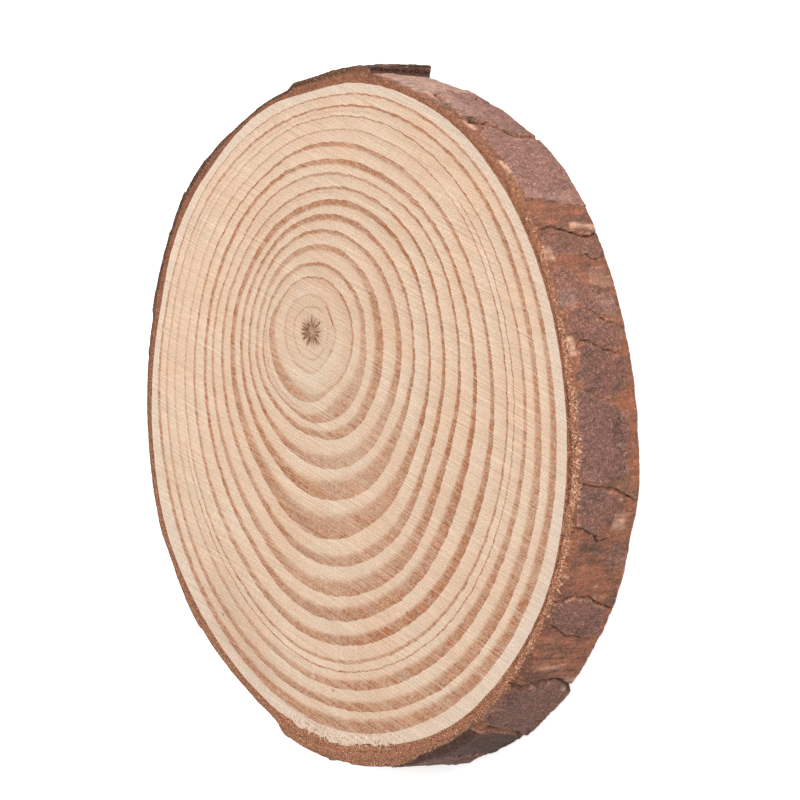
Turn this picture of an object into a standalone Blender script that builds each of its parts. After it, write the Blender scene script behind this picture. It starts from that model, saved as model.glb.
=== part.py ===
"""A cross-cut slice of a pine stem with its bark on, lying on one sawn face.

Lengths below are in millimetres and angles in degrees. The stem's pith is off the middle, so the
outline and the growth rings are radii about the pith. Angle 0 is +X and 90 is +Y.
"""

import math
import random

import bmesh
import bpy
from mathutils import Vector, noise

MM = 0.001

# Slice. The stem leans a little through it, so the lower face is shifted by LEAN
THICKNESS = 10.0
LEAN = (0.6, -1.0)
PITH = (-8.24, 11.66)
PITH_RADIUS = 1.1
PITH_SPIKES = 10
PITH_DEPTH = 0.15

# Outside of the inner bark and outside of the wood, every 15 degrees from -180
BARK = (35.2, 38.4, 42.5, 47.1, 51.2, 54.2, 57.0, 58.6, 59.2, 58.4, 56.7, 54.9,
        51.9, 49.4, 46.9, 43.1, 39.5, 36.6, 33.6, 32.1, 31.1, 31.4, 32.1, 33.2)
WOOD = (33.9, 37.2, 41.3, 45.9, 49.7, 53.0, 55.0, 56.0, 56.7, 56.3, 55.1, 52.2,
        50.1, 47.5, 44.5, 41.5, 38.4, 35.3, 32.3, 31.1, 30.2, 29.9, 30.7, 32.3)

# Outer edge of each year's ring, every 30 degrees from -180
RINGS = (
    (6.0, 6.2, 6.0, 5.8, 5.0, 4.8, 5.1, 5.0, 5.3, 5.1, 5.1, 5.5),
    (9.2, 10.0, 10.1, 9.1, 8.4, 8.4, 8.6, 8.5, 8.1, 7.5, 7.4, 7.6),
    (10.6, 12.0, 12.1, 12.1, 12.1, 11.7, 11.4, 11.2, 10.3, 9.4, 9.1, 9.2),
    (11.9, 13.5, 13.9, 14.1, 14.9, 14.8, 14.6, 14.5, 13.3, 11.7, 11.1, 10.8),
    (13.4, 15.1, 16.7, 18.1, 18.7, 18.4, 18.4, 17.7, 15.7, 13.6, 12.6, 12.3),
    (15.3, 17.3, 19.8, 22.3, 22.8, 21.5, 21.2, 20.4, 18.4, 15.7, 14.1, 13.9),
    (17.2, 19.6, 23.2, 27.9, 27.2, 24.9, 24.3, 23.5, 20.5, 17.4, 15.8, 15.4),
    (19.1, 22.1, 26.1, 31.2, 31.2, 27.9, 27.2, 26.0, 22.4, 19.3, 17.4, 17.2),
    (21.0, 24.9, 29.7, 35.1, 34.9, 31.2, 30.2, 28.6, 24.3, 21.3, 19.4, 19.0),
    (22.9, 26.9, 32.6, 38.7, 38.4, 35.1, 33.1, 30.8, 26.0, 22.9, 21.2, 20.7),
    (24.9, 29.7, 36.3, 41.8, 41.6, 39.3, 36.2, 33.5, 28.5, 25.2, 22.6, 22.6),
    (26.9, 32.3, 39.1, 44.4, 44.1, 41.9, 39.0, 36.0, 31.4, 26.6, 24.1, 24.4),
    (28.9, 34.5, 41.9, 47.7, 48.3, 46.0, 42.3, 38.6, 33.2, 28.6, 25.9, 26.5),
    (30.7, 37.1, 44.9, 50.5, 51.7, 49.3, 44.9, 41.3, 35.1, 29.8, 27.5, 28.0),
    (32.5, 39.1, 47.2, 53.0, 54.6, 52.3, 47.6, 43.2, 36.5, 31.3, 28.8, 29.3),
)
INNER_RINGS = 3
RING_RELIEF = 0.14
RING_VALLEY = 0.35

# Plates of old outer bark that lie over the inner bark: from, to, thickness of the first edge at
# the top face and at the underside, thickness of the last edge
PLATES = (
    (71.6, 99.0, 0.5, 1.4, 0.55),
    (139.0, 160.5, 0.35, 0.3, 0.5),
    (161.5, 181.0, 0.25, 0.3, 0.4),
    (209.0, 226.0, 0.1, 0.2, 0.5),
    (226.0, 241.0, 0.1, 0.1, 0.6),
    (262.0, 290.0, 0.9, 0.6, 0.3),
)

# Cracks of the bark on the side that faces +X: width, depth, how far the bark stands up beside the
# crack (towards greater angles, or lesser ones if negative), then points of angle and depth below
# the top face
CRACKS = (
    (1.4, 1.3, 0.3, (-55.5, 1.6), (-55.7, 3.5), (-55.8, 6.2), (-57.0, 8.4), (-58.0, 10.0)),
    (1.4, 1.4, -0.5, (-46.6, 0.0), (-45.0, 3.0), (-44.5, 5.5), (-44.6, 7.3), (-46.0, 10.0)),
    (1.0, 0.8, 0.3, (-34.4, 0.0), (-35.2, 2.3), (-36.4, 4.3), (-36.6, 6.3)),
    (1.0, 0.9, -0.4, (-31.5, 0.0), (-30.2, 2.8), (-30.2, 4.5), (-31.0, 7.0), (-32.3, 9.5)),
    (1.1, 0.9, 0.4, (-20.0, 0.6), (-20.6, 2.6), (-22.0, 4.6), (-21.8, 5.8)),
    (1.0, 0.9, 0.2, (-14.2, 0.8), (-14.3, 2.4), (-14.8, 5.6), (-15.3, 7.4), (-16.3, 9.0)),
    (0.9, 0.7, -0.2, (3.8, 0.9), (5.1, 1.6), (5.3, 3.2), (4.5, 5.6), (3.4, 9.0)),
    (0.9, 0.6, 0.2, (9.6, 5.0), (8.2, 7.0), (7.0, 9.8)),
    (1.0, 0.9, 0.3, (22.2, 1.2), (22.8, 2.8), (21.9, 5.2), (21.1, 7.0), (22.1, 9.9)),
    (1.4, 1.3, -0.4, (42.5, 0.9), (45.3, 2.4), (44.6, 4.4), (42.6, 6.0), (40.8, 7.6), (40.3, 9.6)),
    (1.0, 0.8, 0.2, (51.5, 1.6), (54.5, 2.2), (58.5, 3.1)),
)
LIP_REACH = 2.5
BACK_CRACKS_FROM = 82.0
BACK_CRACKS_TO = 296.0
BARK_SWELL = 0.3
RIM_BREAK = 0.2

# Mesh: the bark has three columns for each column of the wood, and more of them towards +X
WOOD_COLUMNS = 80
BARK_COLUMNS = 3 * WOOD_COLUMNS
FRONT_COLUMNS = 130
FRONT_HALF_ANGLE = 75.0
BARK_LEVELS = (0.0, 0.5, 1.4, 2.4, 3.4, 4.4, 5.4, 6.4, 7.4, 8.4, 9.4, 10.0)
UNDERSIDE_LOOP = 0.5
SEED = 11


def clear_scene():
    for obj in list(bpy.data.objects):
        bpy.data.objects.remove(obj, do_unlink=True)


def around(values, angle):
    """The value at an angle, on a closed smooth curve through values spaced evenly from -180."""
    place = (angle + 180.0) * len(values) / 360.0
    first = math.floor(place)
    t = place - first
    a, b, c, d = (values[(first + k) % len(values)] for k in (-1, 0, 1, 2))
    return b + 0.5 * t * (c - a + t * (2 * a - 5 * b + 4 * c - d + t * (3 * (b - c) + d - a)))


def plate_thickness(angle, below):
    turned = angle % 360.0
    for start, end, top, low, last in PLATES:
        share = (turned - start) / (end - start)
        first = top + (low - top) * below / THICKNESS
        if 0.0 <= share <= 1.0:
            return first + (last - first) * share
    return 0.0


def back_cracks():
    """Cracks of the same kind as the others, for the rest of the bark."""
    draw = random.Random(SEED)
    angle = BACK_CRACKS_FROM
    found = []
    while angle < BACK_CRACKS_TO:
        start = draw.uniform(-2.0, 3.0)
        points = []
        drift = 0.0
        for step in range(4):
            points.append((angle + drift, start + 3.2 * step))
            drift += draw.uniform(-2.0, 2.0)
        lip = draw.uniform(-0.5, 0.5)
        found.append((draw.uniform(0.9, 1.4), draw.uniform(0.6, 1.2), lip, *points))
        angle += math.degrees(draw.uniform(5.0, 10.0) / around(BARK, angle))
    return found


def distance_to(points, angle, below, radius):
    """Distance along the bark, in mm, from a line of points, and the sign of its side."""
    nearest = 1000.0
    side = 1.0
    for (a0, d0), (a1, d1) in zip(points, points[1:]):
        turn = (angle - a0 + 180.0) % 360.0 - 180.0
        out = Vector((math.radians(turn) * radius, below - d0))
        run = Vector((math.radians(a1 - a0) * radius, d1 - d0))
        share = min(max(out.dot(run) / run.length_squared, 0.0), 1.0)
        gap = out - share * run
        if gap.length < nearest:
            nearest = gap.length
            side = math.copysign(1.0, gap.x)
    return nearest, side


def crack_relief(cracks, angle, below, radius):
    depth = 0.0
    raised = 0.0
    for width, deepest, lip, *points in cracks:
        distance, side = distance_to(points, angle, below, radius)
        depth = max(depth, deepest * (1.0 - distance / width))
        if side * lip > 0.0:
            raised = max(raised, abs(lip) * math.exp(-distance / LIP_REACH))
    return raised - depth


def swell(angle, below):
    turn = math.radians(angle)
    place = Vector((5.0 * math.cos(turn), 5.0 * math.sin(turn), 0.12 * below))
    fine = Vector((24.0 * math.cos(turn), 24.0 * math.sin(turn), 0.35 * below + 7.0))
    return BARK_SWELL * (noise.noise(place) + 0.6 * noise.noise(fine))


def bark_radius(cracks, angle, below):
    """Outside of the bark at an angle and a depth below the top face."""
    radius = around(BARK, angle)
    relief = plate_thickness(angle, below) + swell(angle, below)
    relief += crack_relief(cracks, angle, below, radius)
    if min(below, THICKNESS - below) < 0.01:
        relief -= RIM_BREAK
    return max(radius + relief, around(WOOD, angle) + 0.5)


def column_angle(column):
    """Angle of a column of the bark, which are closer together on the side towards +X."""
    if column <= FRONT_COLUMNS:
        return FRONT_HALF_ANGLE * (2.0 * column / FRONT_COLUMNS - 1.0)
    share = (column - FRONT_COLUMNS) / (BARK_COLUMNS - FRONT_COLUMNS)
    return FRONT_HALF_ANGLE + share * (360.0 - 2.0 * FRONT_HALF_ANGLE)


def pith_at(height):
    """Where the pith passes through a height."""
    lean = 1.0 - height / THICKNESS
    return Vector((PITH[0] + lean * LEAN[0], PITH[1] + lean * LEAN[1], height))


def at(angle, radius, height):
    turn = math.radians(angle)
    return MM * (pith_at(height) + radius * Vector((math.cos(turn), math.sin(turn), 0.0)))


def ring_rows(first, last):
    """For each loop of a run of rings, a function of the angle that gives radius and height."""
    rows = []
    for ring in range(first, last):
        outer = RINGS[ring]
        inner = RINGS[ring - 1] if ring else (PITH_RADIUS,) * len(outer)
        valley = tuple(a + RING_VALLEY * (b - a) for a, b in zip(inner, outer))
        rows.append((valley, THICKNESS - RING_RELIEF))
        rows.append((outer, THICKNESS))
    return rows


def sheet(bm, columns, rows, place):
    """A grid bent round the pith: place gives the point for a column and a row."""
    made = bmesh.ops.create_grid(bm, x_segments=columns, y_segments=rows, size=1.0)
    for vert in made["verts"]:
        column = round((vert.co.x + 1.0) / 2.0 * columns)
        row = round((vert.co.y + 1.0) / 2.0 * rows)
        vert.co = place(column % columns, row)
    return made["verts"]


def split_edge_loop(bm, points, cuts, place):
    """Cuts each edge between these points, and puts the new points where place says."""
    points = set(points)
    edges = [e for e in bm.edges if e.verts[0] in points and e.verts[1] in points]
    cut = bmesh.ops.subdivide_edges(bm, edges=edges, cuts=cuts, use_grid_fill=False)
    for vert in (v for v in cut["geom_inner"] if isinstance(v, bmesh.types.BMVert)):
        vert.co = place(vert.co)


def from_pith(point):
    """Angle and radius, about the pith, of a point of the mesh."""
    out = point / MM - pith_at(point.z / MM)
    return math.degrees(math.atan2(out.y, out.x)), math.hypot(out.x, out.y)


def nearest_column(point, step):
    """The column of the bark, of every so many, that is nearest in angle to a point."""
    angle, _ = from_pith(point)
    columns = range(0, BARK_COLUMNS, step)
    return min(columns, key=lambda c: abs((column_angle(c) - angle + 180.0) % 360.0 - 180.0))


def pith_sheet(bm):
    columns = WOOD_COLUMNS // 2
    rows = ring_rows(0, INNER_RINGS)

    def place(column, row):
        angle = column_angle(6 * column)
        if row == 0:
            return at(0.0, 0.0, THICKNESS - PITH_DEPTH)
        if row == 1:
            spike = 0.3 * math.cos(math.radians(PITH_SPIKES * angle))
            return at(angle, PITH_RADIUS - 0.4 + spike, THICKNESS - PITH_DEPTH)
        if row == 2:
            return at(angle, PITH_RADIUS + 0.4, THICKNESS)
        radii, height = rows[row - 3]
        return at(angle, around(radii, angle), height)

    verts = sheet(bm, columns, len(rows) + 2, place)
    edge = [v for v in verts if on_ring(v.co, INNER_RINGS - 1)]
    split_edge_loop(bm, edge, 1, lambda point: ring_point(INNER_RINGS - 1, nearest_column(point, 3)))


def on_ring(point, ring):
    angle, radius = from_pith(point)
    return abs(radius - around(RINGS[ring], angle)) < 0.05


def ring_point(ring, column):
    angle = column_angle(column)
    return at(angle, around(RINGS[ring], angle), THICKNESS)


def wood_sheet(bm, rim_point):
    """The sawn face outside the inner rings, out to the edge of the bark."""
    rows = ring_rows(INNER_RINGS, len(RINGS))

    def place(column, row):
        angle = column_angle(3 * column)
        if row == 0:
            return ring_point(INNER_RINGS - 1, 3 * column)
        if row <= len(rows):
            radii, height = rows[row - 1]
            return at(angle, around(radii, angle), height)
        if row == len(rows) + 1:
            return at(angle, around(WOOD, angle), THICKNESS)
        return rim_point(3 * column)

    verts = sheet(bm, WOOD_COLUMNS, len(rows) + 2, place)
    split_rim(bm, verts, rim_point)


def split_rim(bm, verts, rim_point):
    rim = {tuple(round(c, 7) for c in rim_point(3 * column)) for column in range(WOOD_COLUMNS)}
    edge = [v for v in verts if tuple(round(c, 7) for c in v.co) in rim]
    split_edge_loop(bm, edge, 2, lambda point: rim_point(nearest_column(point, 1)))


def bark_sheet(bm, bark_point):
    sheet(bm, BARK_COLUMNS, len(BARK_LEVELS) - 1, bark_point)


def underside_sheet(bm, rim_point):
    def place(column, row):
        angle = column_angle(3 * column)
        if row == 0:
            return at(0.0, 0.0, 0.0)
        if row == 1:
            return at(angle, UNDERSIDE_LOOP * around(WOOD, angle), 0.0)
        return rim_point(3 * column)

    verts = sheet(bm, WOOD_COLUMNS, 2, place)
    split_rim(bm, verts, rim_point)


def slice_mesh():
    cracks = list(CRACKS) + back_cracks()

    def bark_point(column, row):
        angle = column_angle(column)
        below = BARK_LEVELS[row]
        return at(angle, bark_radius(cracks, angle, below), THICKNESS - below)

    bm = bmesh.new()
    pith_sheet(bm)
    wood_sheet(bm, lambda column: bark_point(column, 0))
    bark_sheet(bm, bark_point)
    underside_sheet(bm, lambda column: bark_point(column, len(BARK_LEVELS) - 1))
    bmesh.ops.remove_doubles(bm, verts=bm.verts, dist=0.002 * MM)
    bmesh.ops.triangulate(bm, faces=[f for f in bm.faces if len(f.verts) > 4])
    bmesh.ops.recalc_face_normals(bm, faces=bm.faces)
    mesh = bpy.data.meshes.new("wood_slice")
    bm.to_mesh(mesh)
    bm.free()
    return mesh


def wood_material():
    material = bpy.data.materials.new("pine_wood")
    material.use_nodes = True
    shader = material.node_tree.nodes["Principled BSDF"]
    shader.inputs["Base Color"].default_value = (0.74, 0.54, 0.35, 1.0)
    shader.inputs["Roughness"].default_value = 0.75
    shader.inputs["Metallic"].default_value = 0.0
    return material


def main():
    clear_scene()
    collection = bpy.data.collections.new("wood slice")
    bpy.context.scene.collection.children.link(collection)
    obj = bpy.data.objects.new("wood_slice", slice_mesh())
    collection.objects.link(obj)
    obj.data.materials.append(wood_material())
    obj.data.shade_smooth()
    obj.data.set_sharp_from_angle(angle=math.radians(35.0))


main()
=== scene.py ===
"""Looks of a pine slice: sawn end grain, inner bark, flaky outer bark, and a plain pale stage.

Lengths in the tables are millimetres and angles are degrees about the pith, 0 at +X and 90 at +Y.
A depth is measured down from the upper sawn face.
"""

import functools
import math
import random

import bmesh
import bpy
import numpy as np
from mathutils import Matrix, Vector, noise


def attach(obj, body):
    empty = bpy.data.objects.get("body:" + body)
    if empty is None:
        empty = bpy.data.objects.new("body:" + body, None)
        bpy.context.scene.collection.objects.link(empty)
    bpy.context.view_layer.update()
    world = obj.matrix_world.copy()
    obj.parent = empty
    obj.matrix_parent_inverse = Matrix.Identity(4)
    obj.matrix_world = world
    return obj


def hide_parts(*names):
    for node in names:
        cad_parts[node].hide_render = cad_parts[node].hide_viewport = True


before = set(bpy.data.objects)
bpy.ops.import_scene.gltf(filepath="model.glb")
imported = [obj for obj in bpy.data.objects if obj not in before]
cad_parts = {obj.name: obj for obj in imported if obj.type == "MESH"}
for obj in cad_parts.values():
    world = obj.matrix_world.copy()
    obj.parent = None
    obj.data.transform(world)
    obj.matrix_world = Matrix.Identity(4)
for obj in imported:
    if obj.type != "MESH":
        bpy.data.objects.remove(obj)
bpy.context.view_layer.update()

bl_info = {
    "name": "Pine Slice",
    "version": (1, 0, 0),
    "blender": (4, 5, 0),
    "location": "View3D > Sidebar > Pine Slice",
    "description": "Builds the sawn faces and the flaky bark of a pine slice round its packed model",
    "category": "Add Mesh",
}

MM = 0.001

# Slice, as in the part. The stem leans a little, so the underside is shifted by LEAN
THICKNESS = 10.0
LEAN = (0.6, -1.0)
PITH = (-8.24, 11.66)
PITH_RADIUS = 1.1

# Outside of the inner bark and outside of the wood, every 15 degrees from -180
BARK = (35.2, 38.4, 42.5, 47.1, 51.2, 54.2, 57.4, 58.5, 59.2, 58.4, 56.7, 54.9,
        51.9, 49.4, 46.9, 43.1, 39.5, 36.9, 33.7, 32.1, 31.1, 31.4, 32.1, 33.2)
WOOD = (33.5, 36.8, 41.1, 45.9, 49.4, 52.7, 55.4, 56.2, 56.7, 56.0, 54.9, 52.4,
        49.9, 47.5, 44.9, 41.9, 38.4, 35.3, 32.3, 31.1, 30.2, 29.8, 30.6, 31.9)

# Outer edge of each year's ring, every 30 degrees from -180
RINGS = (
    (6.0, 6.2, 6.0, 5.8, 5.0, 4.8, 5.1, 5.0, 5.3, 5.1, 5.1, 5.5),
    (9.1, 9.8, 10.2, 9.6, 8.4, 8.5, 8.7, 8.7, 8.1, 7.5, 7.3, 7.6),
    (10.2, 11.9, 11.9, 12.3, 12.2, 11.9, 11.4, 11.3, 10.3, 9.4, 9.0, 9.3),
    (11.8, 13.5, 13.8, 14.2, 15.1, 15.0, 14.9, 14.6, 13.3, 11.8, 10.9, 10.8),
    (13.4, 15.2, 16.7, 18.2, 19.0, 18.6, 18.7, 17.8, 15.7, 13.7, 12.5, 12.3),
    (15.2, 17.3, 19.8, 22.4, 23.0, 21.6, 21.3, 20.5, 18.2, 15.6, 14.0, 13.8),
    (17.2, 19.9, 23.3, 27.8, 27.3, 25.2, 24.5, 23.6, 20.7, 17.4, 15.7, 15.5),
    (19.2, 22.2, 26.2, 31.3, 31.3, 28.1, 27.4, 26.2, 22.6, 19.2, 17.3, 17.2),
    (21.1, 24.8, 29.7, 35.3, 35.2, 31.4, 30.4, 28.8, 24.5, 21.2, 19.3, 18.8),
    (22.8, 26.9, 32.5, 38.7, 38.4, 35.4, 33.4, 30.9, 26.5, 23.0, 21.0, 20.8),
    (24.9, 29.7, 36.0, 42.0, 41.9, 39.5, 36.6, 33.5, 29.0, 25.2, 22.5, 22.6),
    (26.7, 32.1, 38.7, 44.5, 44.3, 42.2, 39.2, 36.0, 31.2, 26.8, 24.1, 24.3),
    (29.0, 34.8, 41.9, 47.8, 48.4, 46.1, 42.7, 38.6, 33.3, 28.5, 25.8, 26.4),
    (30.7, 37.0, 44.9, 50.5, 51.8, 49.7, 45.2, 41.3, 35.2, 29.8, 27.5, 28.0),
    (32.4, 39.1, 47.3, 53.5, 54.6, 52.7, 48.0, 43.3, 37.0, 31.2, 28.8, 29.3),
)

# Share of each ring that is late wood, then how dark it is, both every 60 degrees from -180
LATE_WOOD = (
    (0.12, 0.16, 0.15, 0.11, 0.09, 0.09), (0.45, 0.54, 0.20, 0.12, 0.15, 0.08),
    (0.32, 0.23, 0.78, 0.56, 0.28, 0.38), (0.51, 0.47, 0.64, 0.64, 0.39, 0.52),
    (0.38, 0.37, 0.63, 0.42, 0.31, 0.36), (0.42, 0.47, 0.85, 0.24, 0.44, 0.49),
    (0.55, 0.67, 0.74, 0.18, 0.44, 0.67), (0.34, 0.38, 0.52, 0.28, 0.25, 0.25),
    (0.27, 0.40, 0.71, 0.21, 0.26, 0.16), (0.45, 0.36, 0.74, 0.26, 0.56, 0.33),
    (0.23, 0.33, 0.55, 0.26, 0.39, 0.22), (0.20, 0.20, 0.24, 0.14, 0.11, 0.17),
    (0.24, 0.23, 0.49, 0.19, 0.08, 0.15), (0.27, 0.33, 0.61, 0.51, 0.22, 0.28),
    (0.30, 0.49, 0.80, 0.46, 0.24, 0.08), (0.06, 0.08, 0.10, 0.07, 0.06, 0.06),
)
DARKNESS = (
    (0.30, 0.25, 0.20, 0.30, 0.35, 0.25), (0.55, 0.65, 0.35, 0.75, 0.75, 0.75),
    (0.70, 0.60, 0.55, 0.50, 0.85, 0.60), (0.50, 0.75, 0.60, 0.75, 0.70, 0.60),
    (0.65, 0.80, 0.45, 0.75, 0.75, 0.75), (0.65, 0.85, 0.60, 0.80, 0.80, 0.80),
    (0.75, 0.75, 0.65, 1.00, 0.95, 0.80), (0.65, 0.75, 0.65, 1.00, 0.90, 0.70),
    (0.65, 0.65, 0.70, 1.00, 0.65, 0.85), (0.80, 0.85, 0.75, 1.00, 0.75, 0.95),
    (0.70, 0.65, 0.90, 0.80, 0.65, 0.95), (0.40, 0.60, 0.65, 0.75, 0.50, 0.55),
    (0.30, 0.45, 0.80, 0.65, 1.00, 0.45), (0.40, 0.65, 0.75, 0.70, 0.95, 0.75),
    (0.70, 0.80, 0.75, 0.80, 0.75, 0.95), (0.00, 0.00, 0.00, 0.00, 0.00, 0.00),
)
# Faint lines inside a ring: ring, place across it, strength, from and to an angle
FALSE_RINGS = (
    (0, 0.58, 0.45, -180.0, 180.0), (0, 0.90, 1.60, 12.0, 56.0), (0, 0.93, 0.80, -42.0, -20.0),
    (2, 0.50, 0.40, -180.0, -100.0), (4, 0.72, 0.55, -25.0, 5.0), (7, 0.60, 0.25, 70.0, 150.0),
    (12, 0.32, 0.75, -150.0, 40.0), (13, 0.45, 0.25, 60.0, 170.0), (9, 0.70, 0.30, 80.0, 160.0),
)
FALSE_RING_FADE = 8.0
RING_RELIEF = 0.03
# Painted light: how much lighter the wood is made at its edge than at the pith, every 60 degrees from -180,
# most towards -X, and between which distances from the pith it gets so
EDGE_PAINTED_LIGHT = (0.11, 0.05, 0.0, 0.02, 0.02, 0.06)
PAINTED_LIGHT_REACH = (4.0, 24.0)

# How far the edge of the wood is from a smooth curve, and how much more where the saw tore it. The
# tear begins and ends at four angles, and fades between two depths from the edge
EDGE_UNEVEN = 0.08
TORN_UNEVEN = 0.5
TORN_WOOD = (-99.0, -93.0, -74.0, -66.0)
TORN_REACH = (1.7, 0.9)

# Marks on the upper face: x, y, size, strength and softness
FACE_MARKS = (
    (-3.9, -36.9, 0.22, 0.6, 0.3), (-28.1, -30.4, 0.2, 0.6, 0.3), (-12.1, -27.1, 0.16, 0.5, 0.3),
    (11.5, -23.6, 0.2, 0.6, 0.3), (-26.5, -30.0, 5.0, 0.16, 0.8), (-19.5, -36.0, 3.5, 0.12, 0.8),
)

# Plates of old outer bark over the inner bark: from, to, thickness of the first edge at the top
# face and at the underside, thickness of the last edge, and the degrees over which they fade
PLATES = (
    (71.6, 97.0, 0.75, 1.7, 0.60, 0.15), (97.2, 99.2, 0.55, 0.5, 0.05, 0.3),
    (139.0, 158.6, 0.25, 0.3, 0.45, 5.0), (162.5, 181.0, 0.45, 0.4, 0.4, 2.5),
    (209.0, 224.0, 0.1, 0.2, 0.40, 3.0), (226.0, 240.0, 0.1, 0.1, 0.35, 1.5),
    (263.5, 290.0, 0.9, 0.6, 0.3, 2.5),
)

# Cracks of the bark on the side that faces +X: width of the dark line, which is painted shade in
# its slot, depth, how far the bark stands up beside it (towards greater angles, or lesser ones if
# negative), then points of angle and depth. The finer ones come last
CRACKS = (
    (0.45, 1.2, 0.0, (-55.3, 2.0), (-55.5, 3.5), (-55.7, 6.2), (-57.0, 8.4), (-58.0, 10.0)),
    (0.40, 1.2, 0.0, (-46.2, 0.0), (-45.0, 2.6), (-44.4, 5.2), (-44.5, 6.8), (-46.0, 9.6)),
    (0.20, 0.5, 0.2, (-34.4, 0.0), (-35.2, 2.3), (-36.4, 4.3), (-36.6, 6.3)),
    (0.20, 0.6, -0.2, (-31.5, 0.0), (-30.2, 2.8), (-30.2, 4.5), (-31.0, 7.0), (-32.3, 9.5)),
    (0.26, 0.6, 0.2, (-20.0, 0.6), (-20.6, 2.6), (-22.0, 4.6), (-21.8, 5.8)),
    (0.18, 0.6, 0.1, (-14.2, 0.8), (-14.3, 2.4), (-14.8, 5.6), (-15.3, 7.4), (-16.3, 9.0)),
    (0.12, 0.3, 0.0, (3.8, 0.9), (5.1, 1.6), (5.2, 3.2), (4.2, 5.6), (3.4, 9.0)),
    (0.12, 0.3, 0.1, (9.6, 5.0), (8.2, 7.0), (7.0, 9.8)),
    (0.20, 0.7, 0.3, (22.2, 1.2), (22.8, 2.8), (21.9, 5.2), (21.1, 7.0), (22.1, 9.9)),
    (0.40, 1.1, 0.0, (45.6, 1.6), (45.4, 2.6), (44.9, 4.0)),
    (0.22, 0.7, 0.1, (44.9, 4.0), (42.6, 5.8), (40.9, 7.4), (40.4, 9.6)),
    (0.26, 0.7, -0.1, (51.5, 1.6), (54.5, 2.3), (58.5, 3.2)),
    (0.14, 0.3, 0.0, (-53.2, 7.9), (-53.4, 9.6), (-53.5, 10.0)),
    (0.30, 0.4, 0.0, (-56.0, 8.9), (-56.2, 9.6)),
    (0.10, 0.2, 0.0, (-40.5, 0.6), (-40.2, 5.0), (-40.8, 9.8)),
    (0.10, 0.2, 0.0, (-38.6, 2.0), (-38.9, 9.0)),
    (0.10, 0.2, 0.0, (-42.6, 4.5), (-42.8, 9.8)),
    (0.12, 0.2, 0.0, (-15.8, 2.3), (-16.5, 3.7), (-16.0, 4.4)),
    (0.12, 0.2, 0.0, (-13.0, 5.1), (-11.0, 5.7), (-9.5, 7.4)),
    (0.12, 0.2, 0.0, (-6.5, 5.9), (-5.6, 6.0), (-5.0, 6.9)),
    (0.08, 0.1, 0.0, (-1.5, 0.9), (-2.6, 4.6), (-3.0, 5.6)),
    (0.10, 0.2, 0.0, (6.5, 2.1), (5.8, 3.0)),
    (0.12, 0.2, 0.0, (10.0, 7.4), (9.4, 9.6)),
    (0.14, 0.4, 0.1, (18.2, 6.5), (17.4, 7.7), (18.2, 9.5)),
    (0.12, 0.2, 0.0, (51.0, 4.4), (56.0, 5.1)),
    (0.18, 0.4, 0.0, (54.6, 7.8), (55.0, 8.3)),
    (0.18, 0.4, 0.0, (53.4, 8.8), (53.7, 9.6)),
    (0.16, 0.3, 0.0, (62.0, 3.4), (62.1, 4.4)),
    (0.18, 0.4, 0.0, (35.5, 0.8), (35.6, 1.1)),
)
LIP_REACH = 2.5
# Cracks at least this deep get the full painted shade in their slots
DARK_FROM_DEPTH = 0.4

# The sawn inner bark, every 30 degrees from -180: how light it is, how dark its outer edge is, and
# how granular it is
CUT_BARK = {
    "light": (0.75, 0.85, 0.9, 1.0, 0.85, 0.78, 0.66, 0.70, 0.75, 0.65, 0.60, 0.62),
    "crust": (0.9, 0.3, 0.1, 0.3, 0.4, 0.0, 0.0, 0.0, 0.3, 1.0, 0.8, 1.1),
    "grit": (0.5, 0.8, 1.0, 1.0, 0.9, 0.8, 0.7, 0.2, 0.2, 0.35, 0.4, 0.45),
}

# Cracks of the hidden side: between which angles, the depth from point to point, and the widths of
# the scales between them
BACK_CRACKS_FROM = 82.0
BACK_CRACKS_TO = 296.0
BACK_CRACK_STEP = 3.2
BACK_SCALE_WIDTH = (5.0, 10.0)

# The bark swells by this much. At the upper face its relief is calm on the side towards -X, which
# ends between two angles from there. Its scales are sunk a little and grow thinner inwards
BARK_SWELL = 0.25
CALM_SIDE = (85.0, 110.0)
SCALE_SINK = 0.12
SCALE_HOLLOW = 1.5
BARE_LIGHTNESS = 0.95

# Where the sawn bark ends inside its plates, and where its edge is most torn, as angles
SET_BACK = (-74.0, -64.0, 10.0, 28.0)
FRAY_MIDDLE = -17.0
FRAY_SPREAD = 19.0

# Torn fibres: between which angles, how many, how far inside the edge they start at most, how far
# they hang at most for each millimetre outwards, and their greatest radius. Then how askew they are
BARK_FIBRES = ((-66.0, 30.0), 300, 0.9, 0.9, 0.25)
WOOD_FIBRES = ((-96.0, -68.0), 90, 1.6, 0.0, 0.11)
FIBRE_SPREAD = 32.0
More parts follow.
